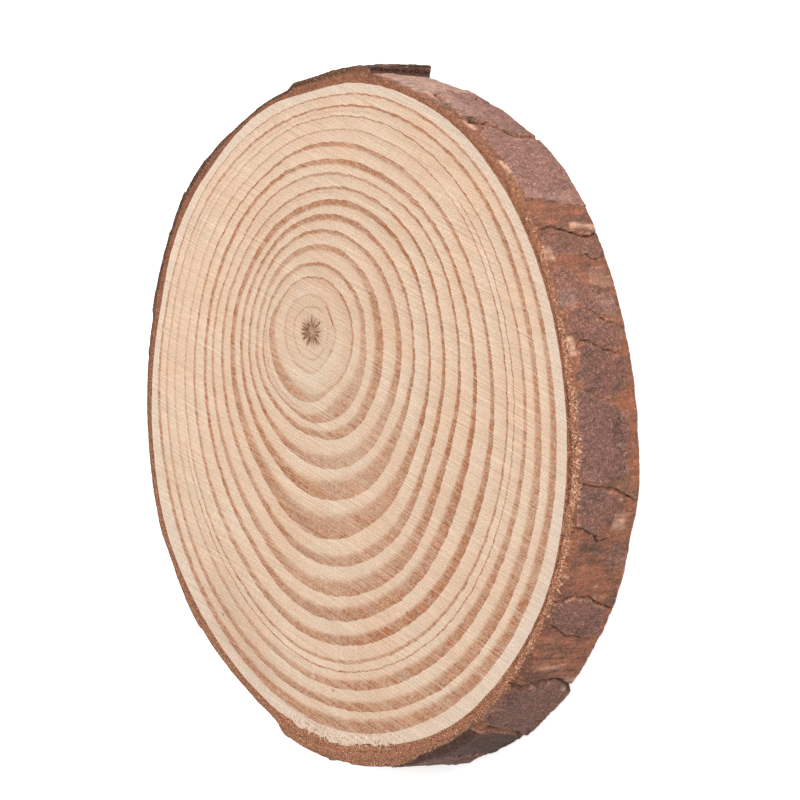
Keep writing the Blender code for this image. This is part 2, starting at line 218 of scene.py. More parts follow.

# Scales of old bark: how far each stands out, how grey it is, how light it is, then its outline
# as points of angle and depth. How light each is is partly painted light and partly its own colour:
# the upper scales are lighter and those towards -90 degrees darker
SCALES = (
    (0.30, 0.5, 0.34, (-80.0, -1.0), (-66.0, -0.4), (-60.0, -0.8), (-56.8, -0.3), (-56.0, 1.5),
     (-56.2, 5.5), (-57.2, 8.0), (-58.5, 11.0), (-80.0, 11.0)),
    (0.45, 0.8, 0.80, (-54.6, -0.4), (-52.0, -0.8), (-48.0, -0.8), (-46.4, -0.2), (-45.5, 1.4),
     (-45.0, 3.2), (-44.6, 4.8), (-44.6, 6.6), (-45.4, 8.8), (-46.6, 11.0), (-58.3, 11.0),
     (-57.0, 7.8), (-55.6, 6.0), (-54.4, 3.2), (-53.9, 1.4)),
    (0.15, 0.7, 0.90, (-34.2, 0.5), (-31.6, 0.3), (-30.7, 1.8), (-30.2, 3.3), (-30.4, 5.1),
     (-31.2, 7.0), (-32.4, 8.8), (-36.5, 9.2), (-36.3, 6.0), (-36.0, 4.6), (-35.2, 2.8)),
    (0.20, 0.75, 0.92, (-19.9, 0.5), (-17.0, 0.3), (-14.3, 0.3), (-14.4, 1.9), (-15.0, 4.6),
     (-15.4, 6.2), (-16.6, 7.0), (-18.0, 6.0), (-20.3, 4.8), (-21.6, 4.3), (-21.2, 2.8), (-20.2, 1.4)),
    (0.25, 0.85, 0.92, (-13.6, -0.6), (-10.0, -0.5), (-6.0, -0.3), (-3.0, -0.6), (-1.6, 0.5),
     (-2.4, 2.8), (-3.0, 5.2), (-4.2, 6.6), (-5.0, 8.0), (-8.0, 8.2), (-10.0, 7.5), (-12.5, 7.9),
     (-13.2, 5.6), (-14.2, 3.8), (-13.9, 1.5)),
    (0.22, 0.65, 0.86, (-1.4, 0.8), (2.0, 1.1), (4.2, 1.5), (4.8, 2.4), (4.4, 4.2), (3.8, 5.6),
     (3.2, 8.8), (0.0, 8.9), (-1.2, 8.0), (-2.8, 5.6), (-2.2, 2.8)),
    (0.18, 0.7, 1.02, (9.8, 0.5), (12.0, -0.2), (15.2, -0.2), (16.0, 1.5), (15.6, 3.8), (13.3, 5.1),
     (12.4, 7.0), (12.0, 9.2), (9.4, 9.2), (9.0, 6.6), (9.8, 4.6), (10.6, 2.8)),
    (0.20, 0.6, 0.98, (5.4, 2.4), (6.6, 1.0), (9.4, 0.8), (10.2, 2.8), (9.2, 4.8), (8.0, 6.6),
     (7.0, 9.2), (3.9, 8.6), (4.6, 5.1)),
    (0.10, 0.55, 0.90, (18.4, 0.8), (21.3, 0.8), (22.2, 2.8), (21.2, 5.6), (20.6, 9.2), (18.4, 9.2),
     (17.7, 7.2), (18.3, 5.4)),
    (0.30, 0.95, 1.29, (27.6, 0.5), (32.0, 0.4), (35.0, 0.9), (41.3, 1.1), (43.0, 2.2), (44.6, 3.6),
     (43.4, 4.6), (42.2, 5.4), (41.0, 6.4), (40.5, 11.0), (26.4, 11.0), (26.4, 6.6), (27.2, 3.8)),
    (0.35, 0.9, 1.27, (46.6, 1.1), (50.0, 0.9), (53.5, 2.4), (58.0, 3.2), (60.0, 5.6), (60.0, 11.0),
     (41.3, 11.0), (41.9, 7.0), (43.2, 5.6), (45.0, 4.4), (46.4, 3.0)),
)

# Patches of the bark that differ in colour: from and to an angle, from and to a depth, strength
RED_PATCHES = (
    (-55.3, -53.6, -1.0, 2.2, 0.5), (-43.6, -36.8, 2.0, 10.0, 0.3), (-29.6, -26.0, -1.0, 7.0, 0.9),
    (-22.5, -18.0, 5.2, 9.2, 0.4), (-4.6, -0.8, 7.0, 9.8, 0.9), (12.8, 17.8, 1.0, 10.0, 0.5),
    (25.0, 26.6, 0.8, 9.0, 0.7), (3.0, 6.2, 7.4, 10.0, 0.6), (43.4, 46.2, 3.0, 5.0, 1.0),
    (52.0, 57.0, 2.9, 4.6, 0.4), (15.0, 26.0, -1.0, 1.2, 0.5),
)
TAN_PATCHES = (
    (3.2, 6.0, -1.0, 1.0, 1.0), (32.4, 35.0, 0.2, 0.8, 1.0), (22.3, 23.3, 5.8, 11.0, 0.8),
    (40.5, 41.0, 5.8, 9.8, 0.6), (43.0, 45.8, 0.6, 1.6, 0.8), (51.5, 58.4, 1.6, 2.4, 0.6),
    (17.0, 19.0, -1.0, 1.4, 0.7), (-30.6, -30.0, 5.8, 6.4, 0.6), (-28.7, -28.2, 5.6, 6.2, 0.5),
    (-16.4, -15.9, 6.8, 7.2, 0.7), (-20.4, -18.4, 6.2, 8.2, 0.45), (-42.2, -41.4, 2.0, 6.5, 0.35),
    (-27.6, -27.0, -0.5, 1.2, 0.8),
)
PALE_PATCHES = (
    (57.5, 71.0, 0.8, 11.0, 0.95), (47.0, 58.0, 1.2, 5.0, 0.35), (-46.0, -43.8, 8.0, 11.0, 0.9),
    (-21.0, -18.0, 6.4, 8.6, 0.3), (8.8, 11.5, 6.0, 9.0, 0.3), (-53.6, -51.4, -1.0, 0.5, 0.7),
    (10.0, 12.5, 0.0, 3.0, 0.3), (-26.0, -23.0, 7.0, 11.0, 0.2), (27.0, 28.5, 0.5, 8.0, 0.3),
    (13.0, 16.0, 5.6, 9.5, 0.3), (-9.8, -9.0, 6.6, 7.4, 0.4),
)
# Dark patches are partly dark old bark and partly painted shade, such as the shadow under the torn fringe
# from -21 to -13.5 degrees
DARK_AND_SHADE_PATCHES = (
    (71.0, 104.0, -1.0, 11.0, 1.0), (-21.0, -13.5, -1.0, 0.35, 0.8), (45.6, 47.0, 1.2, 2.6, 0.8),
    (-44.4, -42.6, 1.0, 4.6, 0.7), (-43.5, -40.0, -0.5, 0.8, 0.5), (-17.0, -14.6, 6.0, 7.4, 0.4),
    (-36.0, -34.6, 0.6, 7.0, 0.35), (-25.4, -24.6, 0.8, 9.0, 0.4), (-23.6, -22.9, 1.6, 10.0, 0.3),
    (-10.5, -5.5, 5.6, 7.2, 0.3), (12.6, 13.5, 5.8, 10.0, 0.3), (-28.0, -23.0, 7.2, 9.0, 0.3),
)
# Depths over which a patch fades in, and the angle past which the patches keep to the dark flake
PATCH_EDGE = (-0.3, 0.35)
FLAKE_FROM = 85.0

# Noises of the meshes: size of the largest lumps, octaves and seed
EDGE_NOISE = (1.3, 3, 3)
SWELL_NOISE = (8.0, 1, 1)
BUMP_NOISE = (2.4, 2, 2)
WANDER_NOISE = (1.6, 3, 4)
SINK_NOISE = (1.4, 3, 12)
BROKEN_NOISE = (1.1, 3, 14)
GRAIN_NOISE = (0.5, 2, 6)
LAYER_NOISE = (5.0, 3, 5)
CUT_NOISE = (0.6, 2, 7)
FRAY_NOISE = (1.2, 3, 10)
PATCH_NOISE = (2.4, 4, 8)
PATCH_SINK_NOISE = (2.0, 4, 13)

# Mesh of the wood. The pith has rows at shares of its radius. The side is hidden by the bark
WOOD_COLUMNS = 400
ROWS_IN_RING = 10
UNDER_ROWS_IN_RING = 4
PITH_ROWS = (0.0, 0.4, 0.7, 1.0)
PITH_WIDTH = 4.0
SIDE_INSET = 0.4

# Mesh of the bark. It reaches into the wood, more where that is torn, and dips under its face
BARK_COLUMNS = 1400
FRONT_COLUMNS = 900
FRONT_HALF_ANGLE = 75.0
CUT_ROWS = 11
SIDE_ROWS = 47
UNDER_ROWS = 5
BARK_INSET = 0.35
TORN_INSET = 0.9
LEAST_BARK = 0.8
HIDDEN_DEPTH = 0.4
UPPER_EDGE = 0.16
LOWER_EDGE = 0.12
SEED = 11

# Dry open wood and bark shine less than smooth ones: level of their specular reflection
OPEN_GRAIN_GLOSS = 0.22

# Camera, as directions in the slice's own frame, and its place in millimetres
CAMERA_UP = (-0.1278, 0.9860, -0.1072)
CAMERA_BACK = (0.7553, 0.1668, 0.6338)
CAMERA_AIM = (7.01, 1.9, 10.0)
CAMERA_DISTANCE = 576.6
LENS = 196.7
SENSOR = 36.0
SHIFT = (0.01875, 0.0225)

# Key light: its way from the slice, its distance and its width in metres
KEY_WAY = (0.5, 0.55, 1.0)
KEY_DISTANCE = 1.1
KEY_WIDTH = 0.9

FLOOR_GAP = 0.05


def linear(colour):
    """An sRGB hex value as linear red, green, blue and alpha."""
    parts = [int(colour[k:k + 2], 16) / 255.0 for k in (1, 3, 5)]
    return tuple(p / 12.92 if p <= 0.04045 else ((p + 0.055) / 1.055) ** 2.4 for p in parts) + (1.0,)


def colour_property(name, colour, description):
    return bpy.props.FloatVectorProperty(name=name, description=description, subtype="COLOR", size=4,
                                         min=0.0, max=1.0, default=linear(colour))


class WoodSettings(bpy.types.PropertyGroup):
    ring_relief: bpy.props.FloatProperty(
        name="Ring relief", description="How far early wood lies below late wood",
        default=RING_RELIEF * MM, min=0.0, unit="LENGTH")
    early: colour_property("Early wood", "#D5BEA7", "Pale wood grown in spring")
    middle: colour_property("Summer wood", "#CFAF94", "Pinkish wood in the middle of each ring")
    late: colour_property("Late wood", "#A06745", "Dark edge of each ring")
    youngest: colour_property("Youngest wood", "#CEC4B8", "Greyer wood of the last ring")
    scratch: colour_property("Scratches", "#EBDAC7", "Light lines left by the saw")
    pith: colour_property("Pith", "#74452B", "Soft core of the stem")


class BarkSettings(bpy.types.PropertyGroup):
    roughness: bpy.props.FloatProperty(
        name="Fine relief", description="Height of the small scales and grains of the bark",
        default=0.12 * MM, min=0.0, unit="LENGTH")
    fibre_length: bpy.props.FloatProperty(
        name="Fibre length", description="Longest torn fibre at the sawn edge",
        default=0.9 * MM, min=0.0, unit="LENGTH")
    bast: colour_property("Inner bark", "#A26C4E", "Sawn inner bark")
    old_bast: colour_property("Old inner bark", "#6B4533", "Sawn inner bark where it is darkest")
    seam: colour_property("Seam", "#6E3522", "Line between the wood and its bark")
    brown: colour_property("Bark", "#6F4F40", "Outer bark between its plates")
    grey: colour_property("Plates", "#73524A", "Weathered skin of the plates")
    red: colour_property("Fresh bark", "#8F5840", "Bark where a scale came off")
    pale: colour_property("Pale bark", "#AD8C7D", "Dry bark bleached by the sun")
    # Dark old bark and painted shade: the undersides of plates and the shadow under the torn fringe
    dark_bark_and_shade: colour_property("Dark bark", "#33201B", "Undersides and edges of old plates")
    # Also a painted highlight along the edges of scales and the raised lips of cracks
    tan: colour_property("Torn bark", "#CFA388", "Torn fibres and bare spots")
    # Painted shade in the cracks; also the dark crust and dark pits of the sawn inner bark
    dark: colour_property("Cracks", "#351B14", "Depth of the cracks")


class StageSettings(bpy.types.PropertyGroup):
    floor_size: bpy.props.FloatProperty(
        name="Floor", description="Side of the square floor", default=3.0, min=0.5, unit="LENGTH")
    key_power: bpy.props.FloatProperty(
        name="Key light", description="Power of the large soft light", default=10.8, min=0.0,
        unit="POWER")
    world: bpy.props.FloatProperty(
        name="Room light", description="Brightness of the white room", default=0.62, min=0.0)
    glow: bpy.props.FloatProperty(
        name="Floor glow", description="Light that comes up through the floor", default=0.42, min=0.0)


def around(values, angle):
    """Values at angles, on a closed smooth curve through values spaced evenly from -180."""
    values = np.asarray(values)
    place = (angle + 180.0) * len(values) / 360.0
    first = np.floor(place).astype(int)
    t = place - first
    a, b, c, d = (values[(first + k) % len(values)] for k in (-1, 0, 1, 2))
    return b + 0.5 * t * (c - a + t * (2 * a - 5 * b + 4 * c - d + t * (3 * (b - c) + d - a)))


def ease(value, start, end):
    t = np.clip((value - start) / (end - start), 0.0, 1.0)
    return t * t * (3.0 - 2.0 * t)


def between(value, start, full, waning, end):
    """Rises softly from 0 at start to 1 at full, and falls from 1 at waning to 0 at end."""
    return ease(value, start, full) * (1.0 - ease(value, waning, end))


def turn_between(angle, other):
    """Angle from the other one, the shorter way round."""
    return (angle - other + 180.0) % 360.0 - 180.0


def noise_field(points, size, octaves, seed):
    """Soft noise of about -1 to 1 at points in millimetres; size is that of its largest lumps."""
    offset = Vector((seed * 17.3, seed * 5.1, seed * 9.7))
    flat = points.reshape(-1, 3) / size
    values = [noise.fractal(Vector(p) + offset, 1.0, 2.0, octaves) for p in flat]
    return np.array(values).reshape(points.shape[:-1])


def pith_at(height):
    lean = 1.0 - height / THICKNESS
    return PITH[0] + lean * LEAN[0], PITH[1] + lean * LEAN[1]


def places(angle, radius, height):
    """Points in millimetres from polar places about the leaning pith."""
    x, y = pith_at(height)
    turn = np.radians(angle)
    return np.stack([x + radius * np.cos(turn), y + radius * np.sin(turn), height + 0.0 * radius], -1)


def way_from_pith(points, height):
    """Fields of the way from the leaning pith to points."""
    x, y = pith_at(height)
    return {"pith_x": points[..., 0] - x, "pith_y": points[..., 1] - y}


def bent_grid(name, points, fields):
    """A closed mesh from rows and columns of points, where each row runs once around the pith."""
    rows, columns = points.shape[:2]
    bm = bmesh.new()
    layers = {key: bm.verts.layers.float.new(key) for key in fields}
    bmesh.ops.create_grid(bm, x_segments=columns, y_segments=rows - 1, size=1.0)
    for vert in bm.verts:
        column = round((vert.co.x + 1.0) / 2.0 * columns) % columns
        row = round((vert.co.y + 1.0) / 2.0 * (rows - 1))
        vert.co = points[row, column] * MM
        for key, layer in layers.items():
            vert[layer] = fields[key][row, column]
    bmesh.ops.remove_doubles(bm, verts=bm.verts, dist=0.001 * MM)
    bmesh.ops.recalc_face_normals(bm, faces=bm.faces)
    return finished(name, bm)


def finished(name, bm):
    mesh = bpy.data.meshes.new(name)
    bm.to_mesh(mesh)
    bm.free()
    mesh.shade_smooth()
    mesh.set_sharp_from_angle(angle=math.radians(50.0))
    obj = bpy.data.objects.new(name, mesh)
    bpy.context.scene.collection.objects.link(obj)
    return obj


def on_slice(obj, material):
    """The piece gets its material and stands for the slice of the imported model."""
    obj.data.materials.append(material)
    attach(obj, "root")
    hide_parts("wood_slice")


# Wood

def wood_edge(angle, height):
    """Radius of the wood, which is a little uneven where the inner bark begins."""
    radius = around(WOOD, angle)
    uneven = EDGE_UNEVEN + TORN_UNEVEN * torn_at(angle)
    return radius + uneven * noise_field(places(angle, radius, height), *EDGE_NOISE)


def torn_at(angle):
    """Where the saw tore the edge of the wood, 0 to 1."""
    return between(angle, *TORN_WOOD)


def false_ring(ring, angle):
    """Place and strength of the faint line inside a ring."""
    place = 0.5 + 0.0 * angle
    strength = 0.0 * angle
    for row, part, dark, start, end in FALSE_RINGS:
        if row == ring:
            inside = between(angle, start, start + FALSE_RING_FADE, end - FALSE_RING_FADE, end)
            inside = inside if end - start < 360.0 else 1.0 + 0.0 * angle
            place = np.where(dark * inside > strength, part, place)
            strength = np.maximum(strength, dark * inside)
    return place, strength


def face_rows(angle, height, relief, steps):
    """Rows of one sawn face from the pith out, some steps to each ring: radius, height, age in
    years, late share, its darkness, place and strength of a faint line, width of the ring."""
    zero = 0.0 * angle
    rows = [(zero + part * PITH_RADIUS, zero + height, *(zero,) * 5, zero + PITH_WIDTH)
            for part in PITH_ROWS]
    edges = [zero + PITH_RADIUS, *(around(ring, angle) for ring in RINGS), wood_edge(angle, height)]
    for ring, (inner, outer) in enumerate(zip(edges, edges[1:])):
        width = outer - inner
        looks = (around(LATE_WOOD[ring], angle), around(DARKNESS[ring], angle), *false_ring(ring, angle))
        for step in range(1, steps + 1):
            part = step / steps
            sink = relief * math.sin(math.pi * part) * (1.2 - part)
            rows.append((inner + part * width, height - sink + zero, zero + ring + part, *looks, width))
    return rows


def wood_mesh(settings):
    angle = np.arange(WOOD_COLUMNS) * 360.0 / WOOD_COLUMNS - 180.0
    zero = 0.0 * angle
    rows = face_rows(angle, THICKNESS, settings.ring_relief / MM, ROWS_IN_RING)
    last = len(RINGS) + 1.0
    for height in (THICKNESS - SIDE_INSET, SIDE_INSET):
        rows.append((wood_edge(angle, height), zero + height, zero + last, *(zero,) * 4, zero + 1.0))
    rows += face_rows(angle, 0.0, 0.0, UNDER_ROWS_IN_RING)[::-1]
    radius, height, *looks = (np.array(column) for column in zip(*rows))
    points = places(angle, radius, height)
    fields = dict(zip(("age", "late", "dark", "line_place", "line", "width"), looks))
    # The pale field is painted light that brightens the face towards its edge
    fields["pale"] = around(EDGE_PAINTED_LIGHT, angle) * ease(radius, *PAINTED_LIGHT_REACH)
    fields["torn"] = torn_at(angle) * ease(wood_edge(angle, THICKNESS) - radius, *TORN_REACH)
    return bent_grid("sawn_wood", points, {**fields, **way_from_pith(points, height)})


# Bark

def column_angles():
    """Angles of the columns of the bark, which are closer together on the side towards +X."""
    front = np.linspace(-FRONT_HALF_ANGLE, FRONT_HALF_ANGLE, FRONT_COLUMNS, endpoint=False)
    back = np.linspace(FRONT_HALF_ANGLE, 360.0 - FRONT_HALF_ANGLE, BARK_COLUMNS - FRONT_COLUMNS,
                       endpoint=False)
    return np.concatenate([front, back])


def plate_thickness(angle, below):
    """Height of the old plates that show as steps of the bark's outline."""
    turned = angle % 360.0
    total = 0.0 * angle
    for start, end, top, low, last, fade in PLATES:
        share = np.clip((turned - start) / (end - start), 0.0, 1.0)
        first = top + (low - top) * below / THICKNESS
        total += between(turned, start - fade, start, end, end + fade) * (first + (last - first) * share)
    return total


@functools.cache
def back_cracks():
    """Cracks of the same kind as the others, for the rest of the bark."""
    draw = random.Random(SEED)
    angle = BACK_CRACKS_FROM
    found = []
    while angle < BACK_CRACKS_TO:
        start = draw.uniform(-2.0, 3.0)
        points = []
        drift = 0.0
        for step in range(4):
            points.append((angle + drift, start + BACK_CRACK_STEP * step))
            drift += draw.uniform(-2.0, 2.0)
        width = draw.uniform(0.16, 0.4)
        found.append((width, draw.uniform(0.4, 1.1), draw.uniform(-0.3, 0.3), *points))
        angle += math.degrees(draw.uniform(*BACK_SCALE_WIDTH) / float(around(BARK, np.array(angle))))
    return found


@functools.cache
def back_scales():
    """Scales between those cracks, every one with its own height and colour."""
    draw = random.Random(SEED + 1)
    found = []
    for (*_, a0, a1, a2, a3), (*_, b0, b1, b2, b3) in zip(back_cracks(), back_cracks()[1:]):
        upper, lower = draw.uniform(-2.0, 2.0), draw.uniform(7.0, 13.0)
        shrink = draw.uniform(0.3, 1.6)
        outline = [(angle + shrink, depth) for angle, depth in (a0, a1, a2, a3)]
        outline += [(angle - shrink, depth) for angle, depth in (b3, b2, b1, b0)]
        outline = [(angle, min(max(depth, upper), lower)) for angle, depth in outline]
        looks = (draw.uniform(0.1, 0.45), draw.uniform(0.4, 1.0), draw.uniform(0.6, 1.1))
        found.append((*looks, *outline))
    return found


def distance_to(points, angle, below, radius):
    """Distance along the bark, in mm, from a line of points, and the sign of its side."""
    nearest = np.full(angle.shape, 1000.0)
    side = np.ones(angle.shape)
    for (a0, d0), (a1, d1) in zip(points, points[1:]):
        out = np.stack([np.radians(turn_between(angle, a0)) * radius, below - d0], -1)
        run = np.stack([math.radians(a1 - a0) * radius, d1 - d0 + 0.0 * radius], -1)
        share = np.clip((out * run).sum(-1) / (run * run).sum(-1), 0.0, 1.0)
        gap = out - share[..., None] * run
        length = np.hypot(gap[..., 0], gap[..., 1])
        closer = length < nearest
        nearest = np.where(closer, length, nearest)
        side = np.where(closer, np.sign(gap[..., 0]), side)
    return nearest, side


def patch(rows, angle, below, radius):
    """Strength of soft-edged patches at places of the bark."""
    total = 0.0 * angle
    for start, end, upper, lower, strength in rows:
        half = 0.5 * np.radians(end - start) * radius
        across = half - np.abs(np.radians(turn_between(angle, 0.5 * (start + end))) * radius)
        down = 0.5 * (lower - upper) - np.abs(below - 0.5 * (upper + lower))
        total = np.maximum(total, strength * ease(np.minimum(across, down), *PATCH_EDGE))
    return total


def within(outline, angle, below, radius):
    """Distance in mm of places of the bark from an outline: positive inside it."""
    closed = (*outline, outline[0])
    nearest, _ = distance_to(closed, angle, below, radius)
    middle = sum(a for a, _ in outline) / len(outline)
    across = turn_between(angle, middle)
    inside = np.zeros(angle.shape, bool)
    for (a0, d0), (a1, d1) in zip(closed, closed[1:]):
        edge = a0 + (a1 - a0) * (below - d0) / (d1 - d0 + 1e-9) - middle
        inside ^= ((d0 > below) != (d1 > below)) & (across < edge)
    return np.where(inside, nearest, -nearest)


def bark_scales(angle, below, radius):
    """Height, grey, lightness and pale rim that the scales give each place of the bark. The lightness
    is painted light, darker on the lower scales, and the rim is a painted highlight along their
    edges, partly exposed bark.
    """
    height, grey, light, rim = 0.0 * angle, 0.0 * angle, 0.0 * angle + BARE_LIGHTNESS, 0.0 * angle
    for rise, greyness, lightness, *outline in (*SCALES, *back_scales()):
        gap = within(outline, angle, below, radius)
        hollow = 0.55 + 0.45 * np.exp(-np.maximum(gap, 0.0) / SCALE_HOLLOW)
        height = np.maximum(height, ease(gap, -0.08, 0.10) * rise * hollow)
        skin = ease(gap, -0.1, 0.3)
        grey = np.maximum(grey, greyness * skin)
        # Painted light: lightness makes the upper scales lighter and the lower ones darker
        light += (lightness - light) * skin
        # Painted highlight, partly exposed bark: a pale rim along each scale's edge
        rim = np.maximum(rim, min(1.0, 2.0 * rise) * np.exp(-((gap - 0.03) / 0.12) ** 2))
    return height, grey, light, rim


def bark_cracks(angle, below, radius):
    """Depth of the cracks, height of their lips, painted shade in their slots and pale rims at places
    of the bark; the rims are a painted highlight on the raised lips, partly exposed bark.
    """
    depth, lips, dark, lip_highlight_and_bare = (0.0 * angle for _ in range(4))
    for width, deepest, lip, *points in (*CRACKS, *back_cracks()):
        distance, side = distance_to(points, angle, below, radius)
        slot = np.exp(-(distance / (0.55 * width)) ** 2)
        shoulder = np.clip(1.0 - distance / (2.2 * width), 0.0, 1.0)
        depth = np.maximum(depth, deepest * (0.6 * slot + 0.2 * shoulder))
        # Painted shade: the slot darkens with depth, up to DARK_FROM_DEPTH
        dark = np.maximum(dark, slot * min(1.0, deepest / DARK_FROM_DEPTH))
        if lip:
            raised = side * lip > 0.0
            lips = np.maximum(lips, abs(lip) * np.exp(-distance / LIP_REACH) * raised)
            # Painted highlight, partly exposed bark: a pale rim along the raised lip
            lip_highlight_and_bare = np.maximum(lip_highlight_and_bare, raised * np.exp(-((distance - 0.9 * width) / 0.15) ** 2))
    return depth, lips, dark, lip_highlight_and_bare


def bark_relief(angle, below, radius, fine):
    """Height of the bark over its smooth outside, and what its scales and cracks do to its colour."""
    base = places(angle, radius, THICKNESS - below)
    swell = 0.8 * noise_field(base, *SWELL_NOISE) + 0.4 * noise_field(base, *BUMP_NOISE)
    wander = 0.35 * noise_field(base, *WANDER_NOISE)
    moved = angle + np.degrees(wander / radius)
    lowered = below + 0.3 * noise_field(base, *SINK_NOISE)
    depth, lips, dark, lip_highlight_and_bare = bark_cracks(moved, lowered, radius)
    depth *= 0.3 + 0.7 * ease(below, 0.3, 2.0)
    broken = ease(noise_field(base, *BROKEN_NOISE), -0.55, 0.25)
    depth, dark = depth * (0.5 + 0.5 * broken), dark * (0.35 + 0.65 * broken)
    height, grey, light, rim = bark_scales(moved, lowered, radius)
    rim = np.maximum(rim, lip_highlight_and_bare * broken)
    relief = plate_thickness(angle, below) + 0.7 * lips - depth
    away = ease(np.abs(turn_between(angle, 180.0)), *CALM_SIDE)
    rough = away + (1.0 - away) * ease(below, 0.2, 2.5)
    relief += (0.3 + 0.7 * rough) * (BARK_SWELL * swell + height - SCALE_SINK)
    small = 0.6 * scale_layers(base) + 0.5 * noise_field(base, *GRAIN_NOISE)
    return relief + fine * rough * small, (dark, grey, light, rim)


def scale_layers(base):
    """Thin scales that lie over each other: steps of a soft noise."""
    height = 3.0 * noise_field(base * np.array((1.0, 1.0, 0.7)), *LAYER_NOISE)
    step = np.floor(height)
    return step + ease(height - step, 0.0, 0.18)


def bark_rows(angle, fray, fine):
    """Rows round the section of the bark, from its inner edge out over the upper face: radius,
    height, depth, place across the sawn bark, skin, painted shade of the cracks, grey, lightness as
    painted light, and a pale rim as painted highlight, partly exposed bark."""
    zero = 0.0 * angle
    plain = (zero, zero, zero + 1.0, zero)
    inner = around(WOOD, angle) - BARK_INSET - TORN_INSET * torn_at(angle)
    rim = around(BARK, angle)

    def outside(below):
        relief, colours = bark_relief(angle, zero + below, rim, fine)
        return np.maximum(rim + relief, inner + LEAST_BARK), colours

    rows = []
    top, _ = outside(0.0)
    set_back = set_back_at(angle)
    chip = 0.06 + 0.3 * fray + set_back
    for part in np.linspace(0.0, 1.0, CUT_ROWS):
        radius = inner + (top - chip - inner) * part
        uneven = 0.6 + noise_field(places(angle, radius, THICKNESS), *CUT_NOISE)
        drop = 0.03 + (0.04 + 0.35 * fray * part ** 2) * uneven
        drop = np.maximum(drop, 0.02) + 0.08 * part ** 6 if part else zero + HIDDEN_DEPTH
        rows.append((radius, THICKNESS - drop, zero, zero + part, zero, *plain))
    for below in np.linspace(UPPER_EDGE, THICKNESS - LOWER_EDGE, SIDE_ROWS):
        radius, colours = outside(below)
        radius = radius - chip * (1.0 - ease(below, 0.0, 0.55 + 0.9 * set_back))
        radius = radius - 0.12 * (1.0 - ease(THICKNESS - below, 0.1, 0.4))
        rows.append((radius, THICKNESS - below + zero, below + zero, zero + 1.0, zero + 1.0, *colours))
    for part in np.linspace(1.0, 0.0, UNDER_ROWS):
        under = inner + (radius - 0.1 - inner) * part
        rows.append((under, zero, zero + THICKNESS, zero + part, zero, *plain))
    return rows + rows[:1]


def bark_mesh(settings):
    angle = column_angles()
    fray = fray_at(angle)
    rows = bark_rows(angle, fray, settings.roughness / MM)
    radius, height, below, across, skin, *looks = (np.array(column) for column in zip(*rows))
    wide = np.broadcast_to(angle, radius.shape)
    points = places(wide, radius, height)
    wander = np.degrees(0.8 * noise_field(points, *PATCH_NOISE) / np.maximum(radius, 1.0))
    shifted = wide + wander
    lowered = below + 0.8 * noise_field(points, *PATCH_SINK_NOISE)
    fields = {name: around(values, angle) + 0.0 * wide for name, values in CUT_BARK.items()}
    # Painted shade of the cracks, grey, painted light of the scales, and painted highlight of the rims
    fields.update(zip(("crack", "grey", "tone_and_painted_light", "bare_and_highlight"), looks))
    # The dark patches are dark old bark and painted shade
    fields.update({
        "skin": skin * ease(below - 0.5 * fray, 0.0, 0.2), "across": across, "torn": fray + 0.0 * wide,
        "red": patch(RED_PATCHES, shifted, lowered, radius),
        "tan": patch(TAN_PATCHES, wide + 0.3 * wander, below, radius),
        "pale": patch(PALE_PATCHES, shifted, lowered, radius),
        "dark_bark_and_shade": patch(DARK_AND_SHADE_PATCHES, np.where(wide < FLAKE_FROM, wide, shifted), below, radius)})
    return bent_grid("bark", points, {**fields, **way_from_pith(points, height)})


def set_back_at(angle):
    """How far the sawn bark ends inside the plates below it, in millimetres: less upwards."""
    return (1.0 - 0.6 * ease(angle, -44.0, -28.0)) * between(angle, *SET_BACK)


def fray_at(angle):
    """How torn the sawn edge of the bark is, 0 to 1."""
    worst = np.exp(-0.5 * (turn_between(angle, FRAY_MIDDLE) / FRAY_SPREAD) ** 2)
    rough = 0.5 + noise_field(places(angle, around(BARK, angle), THICKNESS), *FRAY_NOISE)
    return np.clip((0.2 + 0.8 * worst) * rough, 0.0, 1.0)


def fibre(bm, foot, tip, width):
    run = tip - foot
    turn = run.to_track_quat("Z", "Y").to_matrix().to_4x4()
    place = Matrix.Translation(foot + 0.5 * run) @ turn @ Matrix.Diagonal((1.0, 0.45, 1.0, 1.0))
    bmesh.ops.create_cone(bm, cap_ends=True, segments=5, radius1=width, radius2=0.25 * width,
                          depth=run.length, matrix=place)


def frayed_edge(angle):
    """Radius of the edge that the torn fibres of the bark stand on."""
    return around(BARK, angle) - 0.9 * set_back_at(angle)


def fibres_mesh(name, row, edge_at, strength_at, settings):
    """Torn fibres along a sawn edge."""
    reach, count, furthest_in, lowest, thickest = row
    draw = random.Random(SEED)
    bm = bmesh.new()
    longest = settings.fibre_length / MM
    made = 0
    while made < count:
        angle = draw.uniform(*reach)
        here = np.array([angle])
        strength = float(strength_at(here)[0])
        if draw.random() > strength:
            continue
        made += 1
        edge = float(edge_at(here)[0])
        out = edge - draw.uniform(0.0, furthest_in)
        below = max(0.0, out - edge + 0.2) + draw.uniform(-0.04, 0.08)
        length = longest * draw.uniform(0.3, 1.0) * (0.4 + 0.6 * strength)
        lean = math.radians(draw.gauss(0.0, FIBRE_SPREAD))
        foot = Vector(places(here, np.array([out]), THICKNESS - below)[0])
        turn = math.radians(angle)
        outward = Vector((math.cos(turn), math.sin(turn), 0.0))
        along = Vector((-math.sin(turn), math.cos(turn), 0.0))
        fall = Vector((0.0, 0.0, -draw.uniform(0.05, lowest) if lowest else 0.0))
        run = length * (math.cos(lean) * (outward + fall).normalized() + math.sin(lean) * along)
        fibre(bm, MM * foot, MM * (foot + run), MM * draw.uniform(0.08, thickest))
    return finished(name, bm)


# Materials

